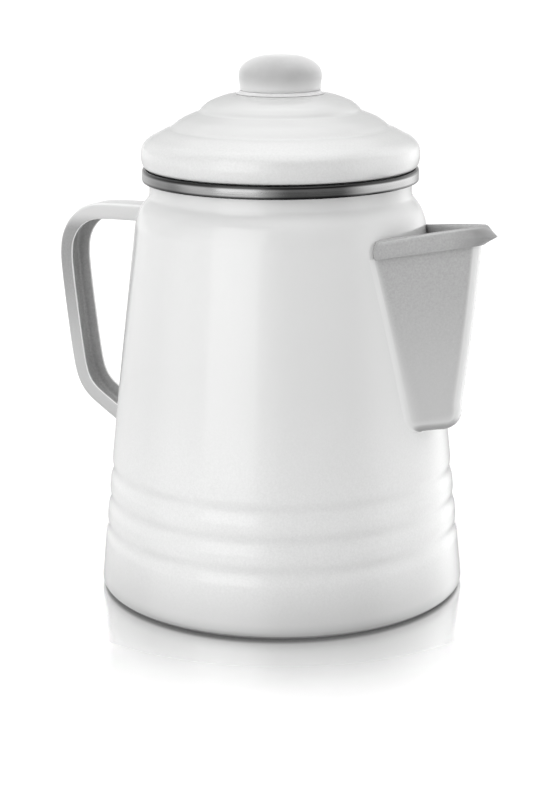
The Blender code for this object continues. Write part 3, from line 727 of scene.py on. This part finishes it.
def spout_row(low, high, offset, beak=0.0, trim=0.0, weld=(SPOUT_FLANGE, SPOUT_FILLET[0])):
    """One row of points; low and high are its heights at the wall and at the nose."""
    half = []
    inside = offset < 0.0
    plan = spout_half_section((low + high) / 2, trim, weld)
    length = [0.0]
    for first, second in zip(plan[::-1], plan[-2::-1]):
        length.append(length[-1] + (second - first).length)
    length = length[::-1]
    for index, point_place in enumerate(plan):
        share = max(0.0, (point_place.x - plan[0].x) / (plan[-1].x - plan[0].x))
        height = low + (high - low) * share
        line = [tuple(point) for point in spout_half_section(height, trim, weld)]
        line.append((line[-2][0], -line[-2][1]))
        proud = offset
        if inside and index < FLANGE_STEPS:
            proud = offset * (1.0 - FEATHER[index])
        elif not inside:
            proud = offset * min(1.0, (0.5 * index) ** 0.6)
        point = Vector(offset_line(line, proud)[index])
        near = max(0.0, 1.0 - length[index] / BEAK_LENGTH)
        point.x += beak * near ** 1.25
        half.append((point.x, point.y, height))
    return mirrored(half)


def wall_row(height, half_width, sink, thickness):
    """One row of the weld under the channel, lying on the pot's wall and feathered in to it."""
    count = FLANGE_STEPS + BEND_STEPS + SIDE_STEPS + NOSE_STEPS
    full = wall_radius(height) + SPOUT_SHEET - WELD_SINK
    widest = math.asin(half_width / full)
    row = []
    for index in range(count + 1):
        feather = max(sink, FEATHER[index] if index < FLANGE_STEPS else 0.0)
        radius = full - feather - thickness * (1.0 - feather)
        row.append((*polar(radius, widest * (1.0 - index / count)), height))
    return mirrored(row)


def beak_reach(part):
    """How far the beak stands out past the band, up the band's height."""
    tip_part = (BEAK_TIP[1] - BAND_NOSE_Z[0]) / (BAND_NOSE_Z[1] - BAND_NOSE_Z[0])
    tip = BEAK_TIP[0] - spout_nose_x(BEAK_TIP[1]) - BAND_PROUD
    crest = BEAK_CREST_X - spout_nose_x(BAND_NOSE_Z[1]) - BAND_PROUD
    if part < tip_part:
        return tip * part / tip_part
    return tip + (crest - tip) * (part - tip_part) / (1.0 - tip_part)


def build_spout(look, band_look, inside_look):
    """Pressed channel with a rolled band round its mouth that runs out into a beak."""
    outer = []
    inner = []
    edge_half = spout_root_half_width(SPOUT_BOTTOM_Z) + SPOUT_FLANGE
    # Rows of the weld below the channel: how far below, how much narrower, how far sunk in
    weld_rows = ((1.2, 2.4, 0.2), (0.95, 1.3, 0.11), (0.65, 0.6, 0.055), (0.35, 0.2, 0.02),
                 (0.1, 0.0, 0.0))
    for drop, narrower, sink in weld_rows:
        outer.append(wall_row(SPOUT_BOTTOM_Z - drop, edge_half - narrower, sink, 0.0))
        inner.append(wall_row(SPOUT_BOTTOM_Z - drop, edge_half - narrower, sink, SPOUT_SHEET))
    for part in (0.0, 0.01, 0.04, 0.1, 0.2, 0.33, 0.48, 0.65, 0.82):
        height = SPOUT_BOTTOM_Z + (SPOUT_BEND_Z - SPOUT_BOTTOM_Z) * part
        outer.append(spout_row(height, height, 0.0))
        inner.append(spout_row(height, height, -SPOUT_SHEET))
    for step in range(CHANNEL_ROWS + 1):
        part = step / CHANNEL_ROWS
        low = SPOUT_BEND_Z + (BAND_ROOT_Z[0] - SPOUT_BEND_Z) * part
        high = SPOUT_BEND_Z + (BAND_NOSE_Z[0] - SPOUT_BEND_Z) * part
        outer.append(spout_row(low, high, 0.0))
        inner.append(spout_row(low, high, -SPOUT_SHEET))
    # Rows of the band: the part of its height, and how far it stands proud there
    band = ((0.02, 0.12), (-0.04, 0.7), (-0.035, 0.92), (0.04, 1.0), (0.12, 1.0), (0.2, 1.0),
            (0.32, 1.0), (0.42, 1.0), (0.457, 1.0), (0.5, 1.0), (0.62, 1.0), (0.76, 1.0), (0.9, 1.0),
            (0.96, 0.86), (1.0, 0.5))
    for part, share in band:
        low = BAND_ROOT_Z[0] + (BAND_ROOT_Z[1] - BAND_ROOT_Z[0]) * part
        high = BAND_NOSE_Z[0] + (BAND_NOSE_Z[1] - BAND_NOSE_Z[0]) * part
        trim = 0.4 + 2.6 * max(0.0, part) ** 2.5
        reach = beak_reach(max(0.0, part))
        outer.append(spout_row(low, high, BAND_PROUD * share, reach, trim, BAND_END))
        thickness = SPOUT_SHEET * (1.0 if part < 0.95 else 0.7)
        inner.append(spout_row(low, high, -thickness, 0.0, trim, BAND_END))
    count = len(outer[0])
    rows = outer + inner[::-1]
    verts = [point for row in rows for point in row]
    faces = []
    for index in range(len(rows)):
        after = (index + 1) % len(rows)
        for left in range(count - 1):
            faces.append((index * count + left, after * count + left,
                          after * count + left + 1, index * count + left + 1))
    last = len(rows) - 1
    for index in range(len(outer) - 1):
        for end in (0, count - 1):
            corner = (index * count + end, (index + 1) * count + end,
                      (last - index - 1) * count + end, (last - index) * count + end)
            faces.append(corner[::-1] if end == 0 else corner)
    spout = mesh_object("pouring_spout", verts, faces, look, SHEET_SHARP_ANGLE)
    spout.data.materials.append(band_look.material)
    spout.data.materials.append(inside_look.material)
    first_band_row = len(outer) - len(band)
    for number, face in enumerate(spout.data.polygons):
        row = number // (count - 1)
        if first_band_row <= row < len(outer):
            face.material_index = 1
        elif len(outer) <= row < len(rows) - 1:
            face.material_index = 2
    place(spout, "pot", "enamel", "spout")


# The handle

def handle_line():
    return smooth_line([(64.0, 152.6), (80.0, 152.2), (88.5, 151.3), (95.1, 148.5), (100.4, 143.6),
                        (103.8, 137.4), (105.0, 131.0), (104.9, 123.0), (102.9, 104.5), (100.6, 87.0),
                        (98.9, 78.0), (96.4, 72.0), (92.5, 67.4), (87.2, 63.7), (78.0, 58.1)])


def channel_section():
    """Rounded outline of the pressed channel: across, and depth from its back."""
    half = HANDLE_WIDTH / 2
    thin = half - HANDLE_SHEET
    below_lip = HANDLE_DEPTH - 0.7
    curve = HANDLE_DEPTH - 0.25
    back = rounded_corners([(-half, below_lip), (-half, 0.0), (half, 0.0), (half, below_lip)],
                           HANDLE_CORNER, 6)
    right_lip = [(half - 0.12, curve), (half - 0.6, HANDLE_DEPTH), (thin + 0.12, curve)]
    front = rounded_corners([(thin, below_lip), (thin, HANDLE_SHEET), (-thin, HANDLE_SHEET),
                             (-thin, below_lip)], HANDLE_CORNER - 0.9, 5)
    left_lip = [(-across, depth) for across, depth in right_lip[::-1]]
    return back + right_lip + front + left_lip


def seated(point, direction):
    """The point moved along a direction until it just enters the pot's wall."""
    low, high = 0.0, 40.0
    for _ in range(30):
        middle = (low + high) / 2
        trial = point + direction * middle
        outside = math.hypot(trial.x, trial.y) > grooved_radius(trial.z) - 0.25
        low, high = (middle, high) if outside else (low, middle)
    return point + direction * low


def build_handle(look, inside_look):
    """Pressed channel; the faces inside it carry a darker enamel, painted shade in the channel."""
    line = handle_line()
    deeper = offset_line(line, -1.0)
    section = channel_section()
    stations = []
    for (reach, height), (deep_reach, deep_height) in zip(line, deeper):
        step = Vector((deep_reach - reach, deep_height - height))
        stations.append([Vector((-(reach + step.x * depth), across, height + step.y * depth))
                         for across, depth in section])
    for first, index in ((stations[1], 0), (stations[-2], -1)):
        for corner, point in enumerate(stations[index]):
            direction = (point - first[corner]).normalized()
            stations[index][corner] = seated(point, direction)
    count = len(section)
    verts = [point for station in stations for point in station]
    faces = []
    for index in range(len(stations) - 1):
        for corner in range(count):
            after = (corner + 1) % count
            faces.append((index * count + corner, index * count + after,
                          (index + 1) * count + after, (index + 1) * count + corner))
    faces.append(tuple(range(count))[::-1])
    faces.append(tuple((len(stations) - 1) * count + corner for corner in range(count)))
    handle = mesh_object("grip_handle", verts, faces, look, SHEET_SHARP_ANGLE)
    handle.data.materials.append(inside_look.material)
    front = range(HANDLE_BACK_POINTS + 2, count - 4)
    for number, face in enumerate(handle.data.polygons):
        if number < count * (len(stations) - 1) and number % count in front:
            face.material_index = 1
    place(handle, "pot", "enamel", "handle")


# The lid and its fittings

def notched(target, low, high):
    """Opens the way for the knob's lugs, at +X and -X."""
    for side in (-1, 1):
        mesh = bpy.data.meshes.new("notch")
        near, far = sorted((side * NOTCH_INNER_R, side * NOTCH_OUTER_R))
        wide = NOTCH_HALF_WIDTH
        corners = [(x, y, z) for z in (low, high)
                   for x, y in ((near, -wide), (far, -wide), (far, wide), (near, wide))]
        sides = [(a, (a + 1) % 4, (a + 1) % 4 + 4, a + 4) for a in range(4)]
        mesh.from_pydata([Vector(corner) * MM for corner in corners], [],
                         [(3, 2, 1, 0), (4, 5, 6, 7), *sides])
        cut_away(target, mesh)


def lid_outside():
    """The lid's outer line from its hole, over three bulges, to the rolled edge."""
    crown = smooth_line([(17.0, LID_TOP_Z), (21.4, 200.4), (25.0, 199.3), (28.6, 197.7), (30.8, 196.0),
                         (31.9, 194.7)])
    middle = smooth_line([(32.5, 194.1), (35.0, 193.1), (38.6, 191.6), (41.2, 189.9), (43.1, 188.3)])
    outer = smooth_line([(43.8, 187.8), (46.2, 186.9), (49.4, 185.2), (52.4, 183.6), (54.2, 182.0),
                         (55.2, 180.2), (55.6, 177.3), (55.3, 174.8), (54.7, 173.2), (54.0, 172.45)])
    return [(LID_HOLE_R, LID_TOP_Z)] + crown + middle + outer


def build_lid(look):
    outer = lid_outside()
    under = [point for point in offset_line(outer, -LID_SHEET) if point[1] > 175.5]
    under[0] = (LID_HOLE_R, LID_TOP_Z - LID_SHEET)
    lip = rounded_corners([(53.4, 172.4), (52.6, 172.8), (52.8, 173.5), (53.8, 173.9),
                           (54.3, 175.0)], 0.4)
    profile = outer[::-1] + under + lip[::-1]
    lid = lathe("lid_dome", profile, look)
    notched(lid, LID_TOP_Z - 4.0, LID_TOP_Z + 4.0)
    place(lid, "lid", "enamel", "lid_shell")


def build_skirt(look):
    inner_r = SKIRT_R - SKIRT_SHEET
    flange_z = 174.1
    skirt = turned("lid_plug_ring", [
        (SKIRT_R, SKIRT_BOTTOM_Z), (SKIRT_R, flange_z), (53.2, flange_z),
        (53.2, flange_z + SKIRT_SHEET), (inner_r, flange_z + SKIRT_SHEET),
        (inner_r, SKIRT_BOTTOM_Z)], TINY_CORNER, 3, look, ROUND)
    place(skirt, "lid", "enamel", "lid_skirt")


def build_gasket(look):
    """Soft washer squeezed between the lid and the knob, so it fills the gap between them."""
    low = LID_TOP_Z + 0.05
    high = KNOB_BASE_Z - 0.05
    bore = KNOB_NECK_R + 0.3
    gasket = turned("knob_washer", [
        (bore, low), (17.6, low), (16.6, low + 0.35), (16.0, high), (bore, high)], 0.3, 4, look)
    place(gasket, "lid", "gasket", "knob_gasket")


def build_lock_ring(look):
    low = LUG_TOP_Z + 0.4
    high = LID_TOP_Z - LID_SHEET - 0.3
    ring = turned("bayonet_ring", [(13.0, low), (17.6, low), (17.6, high), (13.0, high)], 0.5, 4, look)
    notched(ring, low - 2.0, high + 2.0)
    place(ring, "lid", "bright_steel", "knob_lock_ring")


def build_knob(look):
    """Hollow knob, with its two lugs at +Y and -Y."""
    outside = [(KNOB_NECK_R, KNOB_BOTTOM_Z), (KNOB_NECK_R, KNOB_BASE_Z), (15.5, KNOB_BASE_Z)]
    outside += smooth_line([(15.9, 202.6), (16.15, 203.4), (16.2, 204.8), (16.55, 207.3), (16.45, 208.9),
                            (15.95, 210.6), (14.8, 212.2), (12.6, 213.8), (9.4, 215.1), (6.0, 215.8),
                            (2.5, KNOB_TOP_Z - 0.02), (0.0, KNOB_TOP_Z)])
    inside = smooth_line([(0.0, 213.1), (4.5, 213.0), (8.6, 212.3), (11.4, 210.8), (12.9, 208.4),
                          (12.6, 205.2), (11.4, 203.6), (KNOB_NECK_BORE_R, KNOB_BASE_Z)])
    inside.append((KNOB_NECK_BORE_R, KNOB_BOTTOM_Z))
    # From the axis at the cavity's roof down the inside, round the neck and up the outside
    knob = lathe("brew_knob", inside + outside, look, SMALL_ROUND, closed=False)
    lugs = []
    steps = LUG_STEPS
    for side in (-1, 1):
        verts = []
        faces = []
        for radius in (KNOB_NECK_R - 0.6, LUG_R):
            for height in (KNOB_BOTTOM_Z, LUG_TOP_Z):
                for step in range(steps + 1):
                    turn = LUG_HALF_ANGLE * (2 * step / steps - 1)
                    angle = side * math.pi / 2 + math.radians(turn)
                    verts.append((*polar(radius, angle), height))
        row = steps + 1
        for step in range(steps):
            faces.append((2 * row + step, 2 * row + step + 1, 3 * row + step + 1, 3 * row + step))
            faces.append((step, row + step, row + step + 1, step + 1))
            faces.append((step, step + 1, 2 * row + step + 1, 2 * row + step))
            faces.append((row + step, 3 * row + step, 3 * row + step + 1, row + step + 1))
        faces.append((0, 2 * row, 3 * row, row))
        faces.append((steps, row + steps, 3 * row + steps, 2 * row + steps))
        lugs.append(mesh_object("lug", verts, faces, look))
    combine(knob, lugs, "UNION")
    place(knob, "knob", "knob", "lid_knob")


# The pump and the basket

def build_stem(look):
    tube = turned("riser_tube", [
        (STEM_BORE_R, STEM_BOTTOM_Z), (STEM_R, STEM_BOTTOM_Z), (STEM_R, STEM_TOP_Z),
        (STEM_BORE_R, STEM_TOP_Z)], 0.3, 3, look)
    place(tube, "stem", "aluminium", "stem_tube")


def build_foot(look):
    """Dome with four notches for the water to come in."""
    floor = SHEET + 0.3
    collar_r = STEM_R + 0.3 + THIN_SHEET
    outer = [(28.5, floor)] + smooth_line([(28.5, floor + 1.4), (25.5, 5.2), (20.0, 7.8), (13.0, 10.2),
                                           (8.0, 12.0), (collar_r, 14.4)]) + [(collar_r, 22.0)]
    inner = offset_line(outer, THIN_SHEET)
    foot = lathe("pump_dome", outer + inner[::-1], look, SMALL_ROUND)
    rods = []
    for angle in (45, 135, 225, 315):
        start, end = ((*polar(radius, math.radians(angle)), 1.0) for radius in (24.0, 32.0))
        rods.append((start, end, 2.2))
    drilled(foot, rods, 20)
    place(foot, "stem", "aluminium", "stem_foot")


def build_small_turned(seat_look, washer_look, collar_look):
    seat = turned("inlet_cup", [
        (3.0, 3.4), (12.0, 3.4), (12.0, 9.2), (11.2, 9.2), (11.2, 4.2), (3.0, 4.2)], 0.5, 4, seat_look)
    place(seat, "stem", "aluminium", "valve_seat")
    disc = [(1.2, 4.5), (9.0, 4.5), (9.0, 5.3), (1.2, 5.3)]
    washer = turned("valve_disc", disc, 0.25, 3, washer_look)
    place(washer, "washer", "bright_steel", "pump_washer")
    bore = STEM_R + 0.35
    low = COLLAR_TOP_Z - 4.0
    collar = turned("basket_stop", [
        (bore, low), (6.6, low), (8.0, COLLAR_TOP_Z - 2.2), (8.0, COLLAR_TOP_Z),
        (bore, COLLAR_TOP_Z)], 0.5, 4, collar_look)
    place(collar, "stem", "aluminium", "stem_collar")


def hole_rings(rings, low, high):
    """Upright drills in rings: each ring is (radius, count)."""
    rods = []
    for ring_radius, count in rings:
        for index in range(count):
            spot = polar(ring_radius, math.tau * (index + 0.5) / count)
            rods.append(((*spot, low), (*spot, high), BASKET_HOLE_R))
    return rods


def build_basket(look, sleeve_look):
    floor = BASKET_BOTTOM_Z + THIN_SHEET
    outer = [(7.0, floor), (20.0, floor)]
    outer += smooth_line([(BASKET_BOTTOM_R - 2.5, floor), (BASKET_BOTTOM_R - 0.6, floor + 0.9),
                          (BASKET_BOTTOM_R, floor + 3.0)], 4)
    outer += [(BASKET_RIM_R - 2.0, BASKET_TOP_Z - 3.0)]
    rim = smooth_line([(BASKET_RIM_R - 0.3, BASKET_TOP_Z - 2.6), (BASKET_RIM_R, BASKET_TOP_Z - 1.4),
                       (BASKET_RIM_R - 0.4, BASKET_TOP_Z - 0.2), (BASKET_RIM_R - 1.6, BASKET_TOP_Z),
                       (BASKET_RIM_R - 2.7, BASKET_TOP_Z - 0.9)], 4)
    inner = offset_line(outer, THIN_SHEET)
    cup = lathe("coffee_basket", outer + rim + inner[::-1], look, BASKET_ROUND)
    rings = ((11.0, 8), (15.0, 12), (19.0, 16), (23.0, 20), (27.0, 24))
    drilled(cup, hole_rings(rings, floor - 2.0, floor + 3.0), 10)
    place(cup, "basket", "aluminium", "basket_cup")
    bore = SLEEVE_R - THIN_SHEET
    bottom = COLLAR_TOP_Z + 0.3
    top = BASKET_TOP_Z - 1.0
    sleeve = turned("basket_tube", [
        (bore, bottom), (9.4, bottom), (9.4, bottom + THIN_SHEET), (SLEEVE_R, bottom + 1.3),
        (SLEEVE_R, top), (bore, top)], 0.3, 3, sleeve_look)
    place(sleeve, "basket", "aluminium", "basket_sleeve")


def build_cover(look):
    plate = BASKET_TOP_Z + 0.3
    hub = STEM_R + 0.4
    edge_r = BASKET_RIM_R + 1.2
    cover = turned("spreader_plate", [
        (hub, plate), (edge_r - THIN_SHEET, plate), (edge_r - THIN_SHEET, plate - 4.0),
        (edge_r, plate - 4.0), (edge_r, plate + THIN_SHEET), (8.0, plate + THIN_SHEET),
        (hub + THIN_SHEET, plate + 2.2), (hub + THIN_SHEET, plate + 9.0),
        (hub, plate + 9.0)], TINY_CORNER, 3, look, BASKET_ROUND)
    rings = ((12.0, 8), (16.5, 12), (21.0, 16), (25.5, 20), (30.0, 24), (34.5, 28))
    drilled(cover, hole_rings(rings, plate - 2.0, plate + 3.0), 10)
    place(cover, "cover", "aluminium", "basket_cover")


# The studio

def level_way(azimuth):
    angle = math.radians(azimuth)
    return (math.sin(angle), -math.cos(angle), 0.0)


def area_light(name, azimuth, elevation, distance, size, radiance):
    """A soft box aimed at the object."""
    rise = math.radians(elevation)
    target = Vector((0.0, 0.0, 0.1))
    way = Vector(level_way(azimuth)) * math.cos(rise) + Vector((0.0, 0.0, math.sin(rise)))
    data = bpy.data.lights.new(name, "AREA")
    data.shape = "RECTANGLE"
    data.size, data.size_y = size
    data.energy = radiance * size[0] * size[1] * math.pi
    lamp = bpy.data.objects.new(name, data)
    lamp.location = target + way * distance
    lamp.rotation_euler = (-way).to_track_quat("-Z", "Y").to_euler()
    lamp.visible_camera = False
    bpy.context.scene.collection.objects.link(lamp)
    return lamp


def build_world():
    """White overhead, a bright backdrop behind the object and dimmer sides, so that the enamel shows
    its shape."""
    world = bpy.data.worlds.new("studio")
    bpy.context.scene.world = world
    world.use_nodes = True
    nodes = Nodes(world.node_tree)
    background = nodes.tree.nodes["Background"]
    background.inputs["Color"].default_value = (1.0, 1.0, 1.0, 1.0)
    way = nodes.node("ShaderNodeTexCoord").outputs["Generated"]

    def part(direction, levels, strength):
        """Light by the angle from a direction: levels are (cosine, share) stops."""
        dot = nodes.node("ShaderNodeVectorMath", operation="DOT_PRODUCT")
        dot.inputs[1].default_value = direction
        nodes.link(way, dot.inputs[0])
        ramp = nodes.node("ShaderNodeValToRGB")
        ramp.color_ramp.interpolation = "EASE"
        stops = ramp.color_ramp.elements
        while len(stops) < len(levels):
            stops.new(0.5)
        for stop, (cosine, share) in zip(stops, levels):
            stop.position = (cosine + 1.0) / 2.0
            stop.color = (*grey(share), 1.0)
        nodes.link(nodes.ranged(dot.outputs["Value"], 0.0, 1.0, -1.0, 1.0), ramp.inputs["Fac"])
        return nodes.maths("MULTIPLY", ramp.outputs["Color"], strength)

    total = part((0.0, 0.0, 1.0), ZENITH, ZENITH_STRENGTH)
    level = [part(level_way(VIEW_AZIMUTH + 180.0), BACKDROP, BACKDROP_STRENGTH)]
    level += [part(level_way(azimuth), ((low, 0.0), (high, 1.0)), strength)
              for azimuth, low, high, strength in GLOWS]
    for share in level:
        total = nodes.maths("ADD", total, share)
    nodes.link(total, background.inputs["Strength"])


def floor_look():
    """Matt white floor, polished only round the object, so that the reflection fades out."""
    look = Look("studio_floor")
    look.tree.nodes.remove(look.shader)
    matt = look.node("ShaderNodeBsdfDiffuse")
    matt.inputs["Color"].default_value = (*grey(0.93), 1.0)
    polished = look.node("ShaderNodeBsdfAnisotropic")
    polished.inputs["Color"].default_value = (1.0, 1.0, 1.0, 1.0)
    polished.inputs["Roughness"].default_value = 0.16
    distance = look.node("ShaderNodeVectorMath", operation="LENGTH")
    look.link(look.place, distance.inputs[0])
    fade = look.ranged(distance.outputs["Value"], FLOOR_POLISH, 0.0, *FLOOR_POLISH_FADE, "SMOOTHSTEP")
    both = look.node("ShaderNodeMixShader")
    look.link(fade, both.inputs["Fac"])
    look.link(matt.outputs["BSDF"], both.inputs[1])
    look.link(polished.outputs["BSDF"], both.inputs[2])
    look.link(both.outputs["Shader"], look.tree.nodes["Material Output"].inputs["Surface"])
    return look


def build_studio():
    size = FLOOR_SIZE
    corners = [(-size, -size, 0.0), (size, -size, 0.0), (size, size, 0.0), (-size, size, 0.0)]
    floor = mesh_object("studio_floor", corners, [(0, 1, 2, 3)], floor_look())
    floor.location.z = -0.0002
    floor.visible_glossy = False
    build_world()
    area_light("key_box", -5.0, 20.0, 1.5, (1.05, 1.5), 1.25)
    only_floor = bpy.data.collections.new("lit_by_floor_sheen")
    only_floor.objects.link(floor)
    # A ring of soft boxes that the polished floor mirrors; they light nothing else
    for turn in range(0, 360, SHEEN_SPACING):
        radiance = 0.6 if turn == 0 else 1.0
        azimuth = VIEW_AZIMUTH + 180.0 + turn
        sheen = area_light(f"floor_sheen_{turn}", azimuth, 21.0, 2.5, SHEEN_SIZE, radiance)
        sheen.light_linking.receiver_collection = only_floor
        sheen.visible_diffuse = turn == 0
        sheen.data.cycles.max_bounces = 0
        sheen.data.cycles.use_multiple_importance_sampling = False


def build_camera():
    """Eighty-five millimetre lens, looking down a little from the front left of the spout."""
    data = bpy.data.cameras.new("camera")
    data.lens = 85.0
    data.sensor_width = 36.0
    data.clip_end = 50.0
    camera = bpy.data.objects.new("camera", data)
    turn = Matrix.Rotation(math.radians(VIEW_AZIMUTH + CAMERA_TURN), 4, "Z")
    tilt = Matrix.Rotation(math.radians(90.0 - CAMERA_TILT), 4, "X")
    roll = Matrix.Rotation(math.radians(CAMERA_ROLL), 4, "Z")
    level = Vector(level_way(VIEW_AZIMUTH)) * CAMERA_DISTANCE
    spot = Matrix.Translation((level.x, level.y, CAMERA_HEIGHT))
    camera.matrix_world = spot @ turn @ tilt @ roll
    bpy.context.scene.collection.objects.link(camera)
    bpy.context.scene.camera = camera


build_camera()
build_studio()
bpy.context.scene.view_settings.view_transform = "Standard"

build_pot(enamel("pot_enamel", pot=True))
# The ring gets a painted shadow above 170.6 mm and painted shade below 167.7 mm
build_ring(polished_steel("ring_steel", grey(0.32), (0.08, 0.2), 0.1706, 0.1677))
# The spout's inside enamel is a little greyer than the wall: painted shade
build_spout(spout_enamel(), band_enamel(), enamel("spout_inside_enamel", grey(0.62), 0.8))
# The darker inside enamel is painted shade
build_handle(handle_enamel(), enamel("handle_inside_enamel", grey(0.48), 0.75))
build_lid(lid_enamel())
build_skirt(enamel("skirt_enamel"))
build_gasket(silicone())
build_lock_ring(polished_steel("lock_steel"))
build_knob(frosted_knob())
build_stem(spun_aluminium("tube_aluminium"))
build_foot(spun_aluminium("foot_aluminium", (0.64, 0.64, 0.65)))
build_small_turned(spun_aluminium("seat_aluminium"), polished_steel("washer_steel"),
                   spun_aluminium("collar_aluminium"))
build_basket(spun_aluminium("basket_aluminium", (0.68, 0.68, 0.69)), spun_aluminium("sleeve_aluminium"))
build_cover(spun_aluminium("cover_aluminium", (0.67, 0.67, 0.68)))
